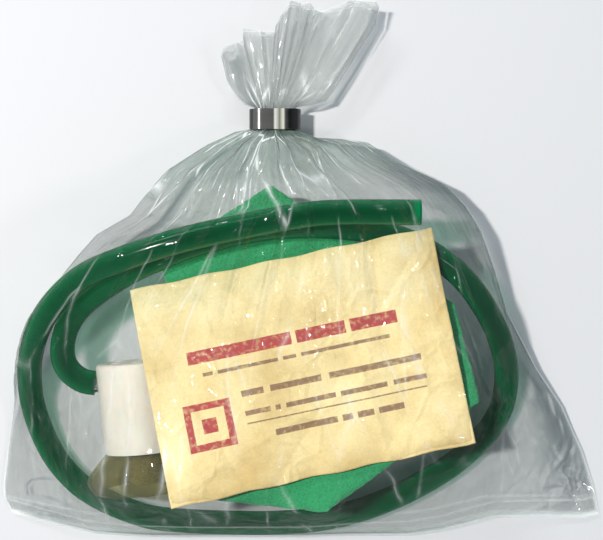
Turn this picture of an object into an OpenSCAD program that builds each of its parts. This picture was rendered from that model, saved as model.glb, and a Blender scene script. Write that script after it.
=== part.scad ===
// Foam filter kit for an aquarium, packed flat in a tied clear bag.
// The bag lies on its back film. +Z is up, +Y runs towards the tied neck, all sizes in mm.

/* [Bag] */
// Thickness of the film sheets as modelled
film_t = 0.6; // [0.4:0.1:1]
// Steepness of the film between the things that hold it up
film_slope = 1; // [0.9:0.05:1.2]
// Height of the middle of the gathered neck
neck_z = 9; // [7:0.5:12]
// Width of the gathered neck inside its band
neck_w = 15; // [12:0.5:16]
// Thickness of the gathered neck inside its band
neck_t = 6; // [4:0.5:7]

/* [Band] */
// Length of the band along the neck
band_len = 6.8; // [5:0.2:9]
// Wall of the band
band_wall = 0.8; // [0.5:0.1:1.2]

/* [Label] */
// Width of the label
label_w = 97; // [90:1:100]
// Height of the label
label_h = 69; // [60:1:70]
// Thickness of the label
label_t = 0.4; // [0.3:0.1:0.6]
// Turn of the label in the bag
label_turn = 11.8; // [10:0.2:13]

/* [Foam] */
// Thickness of the foam block
foam_t = 25; // [20:1:26]
// Tilt of the foam where it leans on the hose
foam_tilt = 5; // [4.5:0.1:5.5]
// Radius of the socket that the chamber is pushed into
socket_r = 13; // [10:0.5:14]

/* [Hose] */
// Outside diameter of the hose
hose_d = 8; // [7:0.5:8]
// Bore of the hose
hose_bore = 6; // [4:0.5:6]

/* [Filter head] */
// Length of the cap
cap_len = 29; // [27:1:29]
// Radius of the cap at its closed end
cap_r = 13.4; // [13:0.1:14]
// Radius of the cap at its open end
cap_mouth_r = 12.6; // [12.4:0.1:13]
// Wall of the cap
cap_wall = 1.6; // [1.4:0.1:1.8]
// Radius of the chamber's neck
chamber_neck_r = 10.2; // [10:0.1:10.2]
// Largest radius of the chamber's bell
bell_r = 19.3; // [18:0.1:19.4]
// Radius of the bell's mouth
bell_mouth_r = 17.3; // [16:0.1:17.5]
// Wall of the chamber
chamber_wall = 1.2; // [1:0.1:1.4]
// Radius of the air stone
stone_r = 6; // [5:0.5:7]
// Length of the air stone
stone_len = 9; // [8:0.5:10]

/* [Hidden] */

fine = 96;
hose_r = hose_d / 2;
neck = [-8.8, 50, neck_z];

// The bag's outline, anticlockwise from the right side of its neck
BAG_OUTLINE = [
    [-0.5, 46.5], [5, 44], [15, 43.3], [22, 42], [31, 36], [39, 32], [47, 28], [54, 21], [59, 13],
    [64, 0], [69, -15], [79, -33], [88, -46], [95, -61], [99, -73], [101, -83], [96, -84],
    [80, -83.5], [65, -83.5], [57, -85.5], [47, -88], [36, -89.5], [16, -89.5], [0, -90],
    [-50, -90], [-69, -89], [-81, -86.5], [-90, -84.5], [-97, -83], [-101, -77], [-101, -72],
    [-99, -56], [-96.5, -42], [-96, -35], [-93, -22], [-86, -12], [-77, 0], [-67, 11.5],
    [-56, 18], [-50, 26], [-44, 33], [-31.5, 41.5], [-22, 46], [-17.3, 46.8]
];

// The gathered mouth of the bag, anticlockwise from the right side of its neck
MOUTH_OUTLINE = [
    [-1.3, 54.5], [8.5, 56.5], [12, 61.5], [16, 67.5], [20, 74], [25, 82], [26, 88], [19, 90],
    [13, 88], [7, 86], [1, 89], [-3, 89], [-7, 84.5], [-9, 79.5], [-19.5, 80.5], [-19.5, 76],
    [-25.5, 74], [-27, 71.5], [-25, 63], [-21, 57], [-16.3, 54.5]
];
mouth_z = [3, 19];

// The foam block's outline in plan, anticlockwise from its left corner
FOAM_OUTLINE = [[-45.5, 2.5], [-28.5, -75], [7.5, -79], [57, -44], [49, -13], [-10, 25.5]];
foam_hinge_y = 25;
foam_base_z = 1.2;
socket_at = [6, -27];

// The hose's centreline from the cap's inlet to its cut end
HOSE_ROUTE = [
    [-66.9, -36.7, 20.3], [-70.8, -36, 20.3], [-74.6, -33.5, 20.3], [-77, -29.8, 20.3],
    [-77.6, -25.3, 20.3], [-76.6, -20, 20.5], [-74, -15, 21.3], [-69.8, -10.5, 22.8],
    [-63.5, -6, 25.8], [-56, -1.5, 30], [-48, 2.3, 32.7], [-32, 8.5, 33], [-10, 13.3, 32.5],
    [13.5, 13.5, 32.2], [31, 10, 31.8], [44, 3.5, 29], [54, -5, 24], [63, -18, 17],
    [67.8, -31, 10.5], [68, -42, 6.8], [65.3, -50, 5.4], [59.5, -57.5, 5], [49, -66.5, 5],
    [33, -75.5, 5], [13, -82.5, 5], [-10.5, -85, 5], [-43.5, -84, 5], [-57.5, -81, 5],
    [-72, -74, 5], [-82, -64, 5], [-88, -52, 5.6], [-90.3, -40, 9], [-88.2, -27, 18],
    [-81.5, -14, 28], [-70, -2.8, 33.5], [-55.5, 3.5, 39.2], [-38, 9, 41.8], [-19, 13.3, 41.3],
    [0, 16.8, 41], [12.9, 17.8, 41]
];
hose_end_at = [12.9, 17.8, 41];
hose_end_len = 24;
hose_sides = 10;
hose_steps = 2;

// Where the head lies: the cap's closed end, with its axis along the bag
head_at = [-53.4, -29.5, 20.3];
head_turn = 5;
inlet_s = 6;
inlet_r = hose_bore / 2;
inlet_reach = 18.5;
inlet_bore_r = 1.5;
inlet_fit = 0.02;
neck_start_s = 14;
tube_r = 2.2;
tube_bore_r = 1.2;
tube_start_s = 9;
tube_end_s = 26;
tube_fit = 0.05;
stem_start_s = 20;
stem_flange_s = tube_end_s + 0.2;
stem_flange_r = 3;
stone_s = 30.5;
stem_neck_r = 1.6;
stem_end_s = stone_s + 4;
bell_len = 12.5;

// The label's height above the table, in rows from its lower edge to its upper edge
LABEL_Z = [
    [40, 38, 36, 35.5, 34.5],
    [38, 36, 35.5, 34.5, 34],
    [34.5, 33.5, 33, 33, 33.5],
    [31, 30.5, 31, 36.5, 38.5]
];
label_corner = [-40.3, -74];

// ---------- points and curves ----------

function between(a, b, t) = a + (b - a) * t;

// A smooth curve through points, with steps pieces from each point to the next
function smooth_at(a, b, c, d, t) =
    0.5 * (2 * b + (c - a) * t + (2 * a - 5 * b + 4 * c - d) * t * t
        + (3 * b - a - 3 * c + d) * t * t * t);
function smooth(p, steps) = [
    for (i = [0 : len(p) - 2], k = [0 : steps - 1])
        smooth_at(p[max(i - 1, 0)], p[i], p[i + 1], p[min(i + 2, len(p) - 1)], k / steps),
    p[len(p) - 1]
];

function lengths(p) = [for (i = [0 : len(p) - 1]) norm(p[(i + 1) % len(p)] - p[i])];
function total(v, n) = n == 0 ? 0 : v[n - 1] + total(v, n - 1);
function place_on(p, d, s, i = 0) =
    s <= d[i] || i == len(p) - 1
        ? between(p[i], p[(i + 1) % len(p)], min(1, s / d[i]))
        : place_on(p, d, s - d[i], i + 1);
// A closed outline again, as n points evenly apart
function spaced(p, n) =
    let (d = lengths(p), all = total(d, len(p)))
    [for (k = [0 : n - 1]) place_on(p, d, all * k / n)];

function unit(v) = v / norm(v);
function backwards(v) = [for (k = [len(v) - 1 : -1 : 0]) v[k]];

// The ring of a tube at point i of a route, always with one side facing up
function ring(p, i, r, sides) =
    let (
        ahead = unit(p[min(i + 1, len(p) - 1)] - p[max(i - 1, 0)]),
        across = unit(cross([0, 0, 1], ahead)),
        up = cross(ahead, across)
    )
    [for (k = [0 : sides - 1]) p[i] + r * (cos(360 * k / sides) * across + sin(360 * k / sides) * up)];

module tube_along(p, r, sides) {
    last = len(p) - 1;
    points = [for (i = [0 : last]) each ring(p, i, r, sides)];
    walls = [
        for (i = [0 : last - 1], k = [0 : sides - 1])
            [i * sides + k, i * sides + (k + 1) % sides,
             (i + 1) * sides + (k + 1) % sides, (i + 1) * sides + k]
    ];
    first_end = [for (k = [0 : sides - 1]) sides - 1 - k];
    far_end = [for (k = [0 : sides - 1]) last * sides + k];
    polyhedron(points, [for (f = concat(walls, [first_end, far_end])) backwards(f)]);
}

// ---------- what holds the front film up: [x, y, height, flat radius] ----------

function foam_top(y) =
    foam_base_z + foam_t / cos(foam_tilt) + (foam_hinge_y - y) * tan(foam_tilt);
function label_point(u, v, z) =
    let (
        along = label_w * u * [cos(label_turn), sin(label_turn)],
        up = label_h * v * [-sin(label_turn), cos(label_turn)]
    )
    [label_corner[0] + along[0] + up[0], label_corner[1] + along[1] + up[1], z];
function head_point(s) = head_at + s * [sin(head_turn), -cos(head_turn), 0];

film_gap = 1.2;
label_columns = len(LABEL_Z[0]) - 1;
label_rows = len(LABEL_Z) - 1;
SUPPORTS = concat(
    [for (p = smooth(HOSE_ROUTE, 2)) [p[0], p[1], p[2] + hose_r + film_gap, 8]],
    [for (x = [0 : 8 : hose_end_len])
        [hose_end_at[0] + x, hose_end_at[1], hose_end_at[2] + hose_r + film_gap, 7]],
    [for (r = [0 : label_rows], c = [0 : label_columns])
        let (p = label_point(c / label_columns, r / label_rows, LABEL_Z[r][c]))
        [p[0], p[1], p[2] + label_t + film_gap, 17]],
    [for (p = spaced(FOAM_OUTLINE, 24)) [p[0], p[1], foam_top(p[1]) + film_gap, 5]],
    [for (s = [0 : 7 : cap_len])
        let (p = head_point(s)) [p[0], p[1], p[2] + cap_r + film_gap, 9]],
    [for (s = [cap_len : 4 : cap_len + bell_len])
        let (p = head_point(s)) [p[0], p[1], p[2] + bell_r + film_gap, 11]],
    [[neck[0], neck[1] - 4, neck_z + 4, 9]]
);
function film_height(x, y) =
    max([for (s = SUPPORTS) s[2] - film_slope * max(0, norm([x - s[0], y - s[1]]) - s[3])]);

// ---------- the bag ----------

film_points = 72;
film_edge_z = film_t + 0.3;
film_middle = [0, -25];
FILM_RINGS = [1, 0.985, 0.955, 0.91, 0.86, 0.8, 0.72, 0.63, 0.53, 0.42, 0.3, 0.16];

function near_neck(p) = norm([p[0] - neck[0], p[1] - neck[1] + 3]) < 9.5;
function film_edge(p) = near_neck(p) ? neck_z - 1 : film_edge_z;
function film_z(p, t) =
    t == 1 ? film_edge(p) : max(film_edge_z + 0.6, film_height(p[0], p[1]));

module bag_back_film() {
    color([0.86, 0.88, 0.88, 0.4])
        linear_extrude(film_t)
            polygon(BAG_OUTLINE);
}

module bag_front_film() {
    outline = spaced(BAG_OUTLINE, film_points);
    n = film_points;
    rings = len(FILM_RINGS);
    under = [
        for (t = FILM_RINGS, o = outline)
            let (p = between(film_middle, o, t))
            [p[0], p[1], film_z(p, t)],
        [film_middle[0], film_middle[1], film_z(film_middle, 0)]
    ];
    over = [for (p = under) [p[0], p[1], p[2] + film_t]];
    m = len(under);
    mid = m - 1;
    cells = [for (r = [0 : rings - 2], k = [0 : n - 1])
        let (a = r * n + k, b = r * n + (k + 1) % n) each [[a, a + n, b], [b, a + n, b + n]]];
    hub = [for (k = [0 : n - 1]) [(rings - 1) * n + k, mid, (rings - 1) * n + (k + 1) % n]];
    top = [for (f = concat(cells, hub)) [f[2] + m, f[1] + m, f[0] + m]];
    rim = [for (k = [0 : n - 1])
        let (a = k, b = (k + 1) % n) each [[a, b, a + m], [b, b + m, a + m]]];
    color([0.86, 0.88, 0.88, 0.3])
        polyhedron(concat(under, over), concat(cells, hub, top, rim));
}

// A flat bar with round sides, along +Z
module stadium(w, t, length) {
    linear_extrude(length) {
        square([w - t, t], center = true);
        for (side = [-1, 1])
            translate([side * (w - t) / 2, 0])
                circle(d = t, $fn = fine);
    }
}

// Moves what is drawn along +Z at the origin to lie along +Y from y through the neck
module along_neck(y) {
    translate([neck[0], y, neck[2]])
        rotate([-90, 0, 0])
            children();
}

module bag_mouth() {
    neck_from = neck[1] - band_len / 2 + 0.6;
    color([0.9, 0.91, 0.91, 0.4]) {
        along_neck(neck_from)
            stadium(neck_w, neck_t, MOUTH_OUTLINE[0][1] - neck_from + 0.5);
        translate([0, 0, mouth_z[0]])
            linear_extrude(mouth_z[1] - mouth_z[0])
                polygon(MOUTH_OUTLINE);
    }
}

module neck_band() {
    clear = 0.3;
    inner_w = neck_w + 2 * clear;
    inner_t = neck_t + 2 * clear;
    color([0.12, 0.12, 0.12])
        along_neck(neck[1] - band_len / 2)
            difference() {
                stadium(inner_w + 2 * band_wall, inner_t + 2 * band_wall, band_len);
                translate([0, 0, -1])
                    stadium(inner_w, inner_t, band_len + 2);
            }
}

// ---------- label and foam ----------

module label_card() {
    columns = label_columns + 1;
    rows = label_rows + 1;
    n = columns * rows;
    low = [for (r = [0 : rows - 1], c = [0 : columns - 1])
        label_point(c / label_columns, r / label_rows, LABEL_Z[r][c])];
    high = [for (p = low) [p[0], p[1], p[2] + label_t]];
    faces = [for (r = [0 : rows - 2], c = [0 : columns - 2])
        let (a = r * columns + c, b = a + 1, d = a + columns, e = d + 1)
        each [[a, b, d], [b, e, d]]];
    top = [for (f = faces) [f[2] + n, f[1] + n, f[0] + n]];
    edge = concat(
        [for (c = [0 : columns - 1]) c],
        [for (r = [1 : rows - 1]) r * columns + columns - 1],
        [for (c = [columns - 2 : -1 : 0]) (rows - 1) * columns + c],
        [for (r = [rows - 2 : -1 : 1]) r * columns]
    );
    rim = [for (k = [0 : len(edge) - 1])
        let (a = edge[k], b = edge[(k + 1) % len(edge)]) each [[a, a + n, b], [b, a + n, b + n]]];
    color([0.93, 0.86, 0.66])
        polyhedron(concat(low, high), concat(faces, top, rim));
}

module foam_block() {
    color([0.2, 0.63, 0.37])
        translate([0, foam_hinge_y, foam_base_z])
            rotate([-foam_tilt, 0, 0])
                translate([0, -foam_hinge_y, 0])
                    difference() {
                        linear_extrude(foam_t)
                            polygon(FOAM_OUTLINE);
                        translate([socket_at[0], socket_at[1], -1])
                            cylinder(r = socket_r, h = foam_t + 2, $fn = fine);
                    }
}

// ---------- the hose ----------

module hose() {
    color([0.02, 0.3, 0.16])
        tube_along(smooth(HOSE_ROUTE, hose_steps), hose_r, hose_sides);
}

module hose_end() {
    color([0.02, 0.3, 0.16])
        translate(hose_end_at)
            rotate([0, 90, 0])
                difference() {
                    cylinder(r = hose_r, h = hose_end_len, $fn = fine);
                    translate([0, 0, 1])
                        cylinder(d = hose_bore, h = hose_end_len, $fn = fine);
                }
}

// ---------- the filter head, drawn along +Z from the cap's closed end ----------

module in_head() {
    translate(head_at)
        rotate([0, 0, head_turn])
            rotate([90, 0, 0])
                children();
}

// A cylinder from the axis out to the left, as the hose leaves
module sideways(r, from, to) {
    translate([-to, 0, inlet_s])
        rotate([0, 90, 0])
            cylinder(r = r, h = to - from, $fn = fine);
}

module head_cap() {
    round_r = 1.4;
    end_t = 2;
    outlet_r = 2;
    outlet_ring_r = 8;
    outlets = 6;
    color([0.95, 0.94, 0.9])
        in_head()
            difference() {
                rotate_extrude($fn = fine)
                    polygon([
                        [0, 0], [cap_r - round_r, 0], [cap_r - 0.4, 0.4], [cap_r, round_r],
                        [cap_mouth_r, cap_len], [cap_mouth_r - cap_wall, cap_len],
                        [cap_r - cap_wall - 0.4, end_t], [0, end_t]
                    ]);
                sideways(inlet_r + inlet_fit, 0, cap_r + 2);
                for (k = [0 : outlets - 1])
                    rotate([0, 0, 360 / outlets * (k + 0.5)])
                        translate([outlet_ring_r, 0, -1])
                            cylinder(r = outlet_r, h = end_t + 2, $fn = fine);
            }
}

module cap_gasket() {
    gasket_len = 3;
    gasket_s = 22;
    color([0.25, 0.25, 0.24])
        in_head()
            translate([0, 0, gasket_s])
                difference() {
                    cylinder(r = cap_mouth_r - cap_wall, h = gasket_len, $fn = fine);
                    translate([0, 0, -1])
                        cylinder(r = chamber_neck_r + 0.06, h = gasket_len + 2, $fn = fine);
                }
}

module inlet_elbow() {
    body_r = 3.5;
    body_top_s = 2.4;
    barb_r = inlet_r + 0.25;
    barb_len = 1.5;
    color([0.85, 0.87, 0.83])
        in_head()
            difference() {
                union() {
                    translate([0, 0, body_top_s])
                        cylinder(r = body_r, h = neck_start_s - body_top_s, $fn = fine);
                    sideways(inlet_r, 0, inlet_reach);
                    sideways(barb_r, inlet_reach - 2 * barb_len, inlet_reach - barb_len);
                }
                sideways(inlet_bore_r, 0, inlet_reach + 1);
                translate([0, 0, inlet_s])
                    cylinder(r = inlet_bore_r, h = neck_start_s, $fn = fine);
                translate([0, 0, tube_start_s])
                    cylinder(r = tube_r + tube_fit, h = neck_start_s, $fn = fine);
            }
}

module air_tube() {
    color([0.8, 0.83, 0.8])
        in_head()
            translate([0, 0, tube_start_s])
                difference() {
                    cylinder(r = tube_r, h = tube_end_s - tube_start_s, $fn = fine);
                    translate([0, 0, -1])
                        cylinder(r = tube_bore_r, h = tube_end_s, $fn = fine);
                }
}

module chamber() {
    inner_r = chamber_neck_r - chamber_wall;
    color([0.55, 0.55, 0.42, 0.55])
        in_head()
            rotate_extrude($fn = fine)
                polygon([
                    [inner_r, neck_start_s + 0.3], [chamber_neck_r, neck_start_s + 0.3],
                    [chamber_neck_r, cap_len + 0.2], [cap_mouth_r, cap_len + 0.2],
                    [bell_r - 1.3, cap_len + 6], [bell_r, cap_len + 8.5],
                    [bell_r - 0.3, cap_len + 10], [bell_mouth_r, cap_len + bell_len],
                    [bell_mouth_r - chamber_wall, cap_len + bell_len],
                    [bell_r - chamber_wall - 0.4, cap_len + 9.6],
                    [bell_r - chamber_wall - 0.1, cap_len + 8.6],
                    [bell_r - chamber_wall - 1.4, cap_len + 6.8],
                    [cap_mouth_r - chamber_wall, cap_len + 1.4], [inner_r, cap_len + 1.4]
                ]);
}

module chamber_screen() {
    screen_s = 27.5;
    screen_t = 1.4;
    middle_r = 3.4;
    hole_ring_r = 6.2;
    hole_r = 1;
    holes = 12;
    color([0.9, 0.9, 0.86])
        in_head()
            translate([0, 0, screen_s])
                difference() {
                    cylinder(r = chamber_neck_r - chamber_wall, h = screen_t, $fn = fine);
                    translate([0, 0, -1])
                        cylinder(r = middle_r, h = screen_t + 2, $fn = fine);
                    for (k = [0 : holes - 1])
                        rotate([0, 0, 360 / holes * k])
                            translate([hole_ring_r, 0, -1])
                                cylinder(r = hole_r, h = screen_t + 2, $fn = fine);
                }
}

module stone_stem() {
    color([0.82, 0.84, 0.82])
        in_head()
            rotate_extrude($fn = fine)
                polygon([
                    [0, stem_start_s], [tube_bore_r - tube_fit, stem_start_s],
                    [tube_bore_r - tube_fit, stem_flange_s], [stem_flange_r, stem_flange_s],
                    [stem_flange_r, stem_flange_s + 1], [stem_neck_r, stem_flange_s + 1],
                    [stem_neck_r, stem_end_s], [0, stem_end_s]
                ]);
}

module air_stone() {
    edge_r = 0.8;
    stone_end = stone_s + stone_len;
    color([0.6, 0.56, 0.48])
        in_head()
            rotate_extrude($fn = fine)
                polygon([
                    [stem_neck_r, stone_s], [stone_r - edge_r, stone_s], [stone_r, stone_s + edge_r],
                    [stone_r, stone_end - edge_r], [stone_r - edge_r, stone_end], [0, stone_end],
                    [0, stem_end_s], [stem_neck_r, stem_end_s]
                ]);
}

bag_back_film();
bag_front_film();
bag_mouth();
neck_band();
label_card();
foam_block();
hose();
hose_end();
head_cap();
cap_gasket();
inlet_elbow();
air_tube();
chamber();
chamber_screen();
stone_stem();
air_stone();
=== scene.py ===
"""An aquarium sponge filter kit packed in a tied clear bag, lying on its back.

Everything is made in the CAD frame, in metres, with +Z up and +Y towards the tied neck of the bag.
Lists of points and heights are in millimetres, and MM turns them into metres.
"""

import math

import bpy
import numpy as np
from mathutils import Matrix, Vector
from mathutils.bvhtree import BVHTree


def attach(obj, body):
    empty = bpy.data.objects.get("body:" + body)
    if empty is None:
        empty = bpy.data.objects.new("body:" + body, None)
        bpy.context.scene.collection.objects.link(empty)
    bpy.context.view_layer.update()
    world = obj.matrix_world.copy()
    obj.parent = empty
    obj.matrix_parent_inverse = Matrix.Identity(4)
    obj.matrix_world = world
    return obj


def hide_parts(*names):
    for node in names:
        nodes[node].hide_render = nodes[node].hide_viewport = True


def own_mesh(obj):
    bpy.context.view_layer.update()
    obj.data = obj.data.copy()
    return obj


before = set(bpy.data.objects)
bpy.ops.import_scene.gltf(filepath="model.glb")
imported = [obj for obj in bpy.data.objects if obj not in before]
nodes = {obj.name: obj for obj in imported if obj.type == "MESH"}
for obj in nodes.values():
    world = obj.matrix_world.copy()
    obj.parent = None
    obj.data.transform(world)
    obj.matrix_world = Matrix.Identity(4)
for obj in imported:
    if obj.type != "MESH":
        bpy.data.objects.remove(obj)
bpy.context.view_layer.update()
MM = 0.001

# ---------------------------------------------------------------- camera

EYE_HEIGHT = 0.45
VIEW_WIDTH = 0.205
SENSOR = 36.0

camera = bpy.data.objects.new("camera", bpy.data.cameras.new("camera"))
bpy.context.collection.objects.link(camera)
camera.location = (0, 0, EYE_HEIGHT)
camera.data.sensor_fit = "HORIZONTAL"
camera.data.sensor_width = SENSOR
camera.data.lens = SENSOR * EYE_HEIGHT / VIEW_WIDTH
bpy.context.scene.camera = camera


# ---------------------------------------------------------------- mesh helpers


def new_mesh(name, points, faces, smooth=True):
    """A mesh object from points in metres."""
    mesh = bpy.data.meshes.new(name)
    mesh.from_pydata([tuple(p) for p in points], [], [tuple(f) for f in faces])
    mesh.validate()
    mesh.update()
    if smooth:
        mesh.shade_smooth()
    piece = bpy.data.objects.new(name, mesh)
    bpy.context.collection.objects.link(piece)
    return piece


def grid_faces(rows, columns):
    """Quads of a grid of points stored row by row."""
    return [
        (r * columns + c, r * columns + c + 1, (r + 1) * columns + c + 1, (r + 1) * columns + c)
        for r in range(rows - 1)
        for c in range(columns - 1)
    ]


def grid_piece(name, layers, flip=False):
    """A sheet of one or more grids of points, rows by columns by 3 in mm, with UVs running along both."""
    points, faces, uvs, start = [], [], [], 0
    for layer in layers:
        rows, columns = layer.shape[:2]
        faces += [tuple(k + start for k in (f[::-1] if flip else f)) for f in grid_faces(rows, columns)]
        u, v = np.meshgrid(np.linspace(0, 1, columns), np.linspace(0, 1, rows))
        uvs.append(np.stack([u.ravel(), v.ravel()], 1))
        points.append(layer.reshape(-1, 3) * MM)
        start += rows * columns
    piece = new_mesh(name, np.concatenate(points), faces)
    uv = np.concatenate(uvs)
    map_layer = piece.data.uv_layers.new(name="across")
    corner = np.zeros(len(piece.data.loops), int)
    piece.data.loops.foreach_get("vertex_index", corner)
    map_layer.data.foreach_set("uv", uv[corner].ravel())
    return piece


def on_plan(plan, z):
    """A plan, points by 2, with its heights as a third number."""
    return np.concatenate([plan, z[..., None]], 2)


def smooth_line(points, steps):
    """The smooth curve that the CAD hose follows, steps pieces from each point to the next."""
    p = np.array(points, float)
    out = []
    for i in range(len(p) - 1):
        a, b, c, d = p[max(i - 1, 0)], p[i], p[i + 1], p[min(i + 2, len(p) - 1)]
        for k in range(steps):
            t = k / steps
            square = (2 * a - 5 * b + 4 * c - d) * t**2
            cube = (3 * b - a - 3 * c + d) * t**3
            out.append(0.5 * (2 * b + (c - a) * t + square + cube))
    out.append(p[-1])
    return np.array(out)


def along(points, count):
    """count points evenly spaced along a line."""
    p = np.array(points, float)
    s = np.concatenate([[0], np.cumsum(np.linalg.norm(np.diff(p, axis=0), axis=1))])
    at = np.linspace(0, s[-1], count)
    return np.stack([np.interp(at, s, p[:, k]) for k in range(p.shape[1])], 1)


# ---------------------------------------------------------------- node helpers


def material(name):
    """A material with only its output node."""
    mat = bpy.data.materials.new(name)
    mat.use_nodes = True
    nt = mat.node_tree
    nt.nodes.clear()
    out = nt.nodes.new("ShaderNodeOutputMaterial")
    return mat, nt, out


def node(nt, kind, inputs=None, **settings):
    """A node whose inputs are linked to sockets or set to values."""
    n = nt.nodes.new(kind)
    for key, value in settings.items():
        setattr(n, key, value)
    for key, value in (inputs or {}).items():
        if isinstance(value, bpy.types.NodeSocket):
            nt.links.new(value, n.inputs[key])
        else:
            n.inputs[key].default_value = value
    return n


def maths(nt, operation, a, b=0.0, clamp=False):
    """One maths step on sockets or numbers."""
    return node(nt, "ShaderNodeMath", {0: a, 1: b}, operation=operation, use_clamp=clamp).outputs[0]


def plus(nt, a, b, clamp=False):
    return maths(nt, "ADD", a, b, clamp)


def minus(nt, a, b, clamp=False):
    return maths(nt, "SUBTRACT", a, b, clamp)


def times(nt, a, b, clamp=False):
    return maths(nt, "MULTIPLY", a, b, clamp)


def vectors(nt, operation, inputs):
    return node(nt, "ShaderNodeVectorMath", inputs, operation=operation).outputs[0]


def ramp(nt, fac, stops):
    """A colour ramp; stops are (place, colour or grey)."""
    n = node(nt, "ShaderNodeValToRGB", {"Fac": fac})
    while len(n.color_ramp.elements) < len(stops):
        n.color_ramp.elements.new(0.5)
    for e, (place, colour) in zip(n.color_ramp.elements, stops):
        e.position = place
        grey = isinstance(colour, (int, float))
        e.color = (colour, colour, colour, 1) if grey else (*colour, 1)
    return n.outputs["Color"]


def object_place(nt):
    return node(nt, "ShaderNodeTexCoord").outputs["Object"]


def noise(nt, place, scale, detail=3.0, rough=0.55, out="Fac"):
    inputs = {"Vector": place, "Scale": scale, "Detail": detail, "Roughness": rough}
    return node(nt, "ShaderNodeTexNoise", inputs).outputs[out]


def cells(nt, place, scale, feature="F1"):
    """How far a point is from the middle, or from the edge, of its Voronoi cell."""
    inputs = {"Vector": place, "Scale": scale}
    return node(nt, "ShaderNodeTexVoronoi", inputs, feature=feature).outputs["Distance"]


def warped(nt, start, place, scale, size, detail=3.0):
    """start shifted by up to size, by a noise at place."""
    shift = vectors(nt, "SCALE", {0: noise(nt, place, scale, detail, out="Color"), "Scale": size})
    return vectors(nt, "ADD", {0: start, 1: shift})


def bump(nt, height, distance, strength=1.0):
    inputs = {"Height": height, "Distance": distance, "Strength": strength}
    return node(nt, "ShaderNodeBump", inputs).outputs[0]


def facing_away(nt, blend, normal=None):
    """0 where the surface faces the viewer, 1 where it is seen edge on."""
    inputs = {"Blend": blend}
    if normal is not None:
        inputs["Normal"] = normal
    return node(nt, "ShaderNodeLayerWeight", inputs).outputs["Facing"]


def mixed(nt, fac, a, b, blend="MIX"):
    """Two colours mixed or multiplied."""
    n = node(nt, "ShaderNodeMix", data_type="RGBA", blend_type=blend)
    for socket, value in zip((n.inputs[0], n.inputs[6], n.inputs[7]), (fac, a, b)):
        if isinstance(value, bpy.types.NodeSocket):
            nt.links.new(value, socket)
        else:
            socket.default_value = value if isinstance(value, (int, float)) else (*value, 1)
    return n.outputs[2]


def see_through(nt, colour):
    """A transparent shader; colour is a socket or three numbers."""
    linked = isinstance(colour, bpy.types.NodeSocket)
    return node(nt, "ShaderNodeBsdfTransparent", {"Color": colour if linked else (*colour, 1)}).outputs[0]


def principled(nt, tone, roughness, normal, **more):
    """A Principled shader; more names its other sockets, with _ for a space."""
    inputs = {"Base Color": tone, "Roughness": roughness, "Normal": normal}
    inputs.update({key.replace("_", " "): value for key, value in more.items()})
    return node(nt, "ShaderNodeBsdfPrincipled", inputs).outputs[0]


def blended(nt, share, first, second):
    return node(nt, "ShaderNodeMixShader", {0: share, 1: first, 2: second}).outputs[0]


def split_by_shadow(nt, seen, in_shadow):
    """One shader for what is seen, another for shadow rays."""
    return blended(nt, node(nt, "ShaderNodeLightPath").outputs["Is Shadow Ray"], seen, in_shadow)


# ---------------------------------------------------------------- film

# Polythene's milky white where it is thick with folds, which is also the colour of the painted glint lines
# along its folds and edges, and the shade of the upright sides of the bag
MILK_AND_GLINT = (0.80, 0.83, 0.82)
SIDE_SHADE = (0.14, 0.17, 0.18)
FILM_IOR = 1.3


def film_folds(nt, place, uv, folds):
    """The film's fine height, and how far a point is from the nearest long fold."""
    moved = warped(nt, uv, place, 45, 0.035, 2)
    stretched = node(nt, "ShaderNodeMapping", {"Vector": moved, "Scale": (*folds, 1)}).outputs[0]
    long_edge = cells(nt, stretched, 1, "DISTANCE_TO_EDGE")
    short_edge = cells(nt, warped(nt, place, place, 60, 0.012), 70, "DISTANCE_TO_EDGE")
    long_ridge = times(nt, ramp(nt, long_edge, [(0, 1), (0.25, 0)]), 1.2)
    short_ridge = times(nt, ramp(nt, short_edge, [(0, 1), (0.3, 0)]), 0.8)
    swell = times(nt, noise(nt, stretched, 2.2, 2), 2.2)
    return plus(nt, plus(nt, long_ridge, short_ridge), swell), long_edge


def film_glint_lines(nt, place, v, long_edge):
    """Painted glint: broken thin white lines along the long folds' crests, fainter away from the neck."""
    broken = ramp(nt, noise(nt, place, 55, 2), [(0.42, 0), (0.62, 1)])
    line = times(nt, ramp(nt, long_edge, [(0, 1), (0.022, 0.25), (0.05, 0)]), broken)
    return times(nt, line, ramp(nt, v, [(0.25, 1), (0.5, 0.35)]))


def hem_and_edge_glints(nt, side, v):
    """The painted glint along the side folds, and two lines at the welded bottom seam: its weld, and a
    painted glint along its outer edge.
    """
    weld_and_edge_glint = [(0.966, 0), (0.969, 0.3), (0.972, 0), (0.992, 0), (0.996, 0.7)]
    return maths(nt, "MAXIMUM", ramp(nt, side, [(0.001, 0.7), (0.004, 0)]), ramp(nt, v, weld_and_edge_glint))


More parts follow.
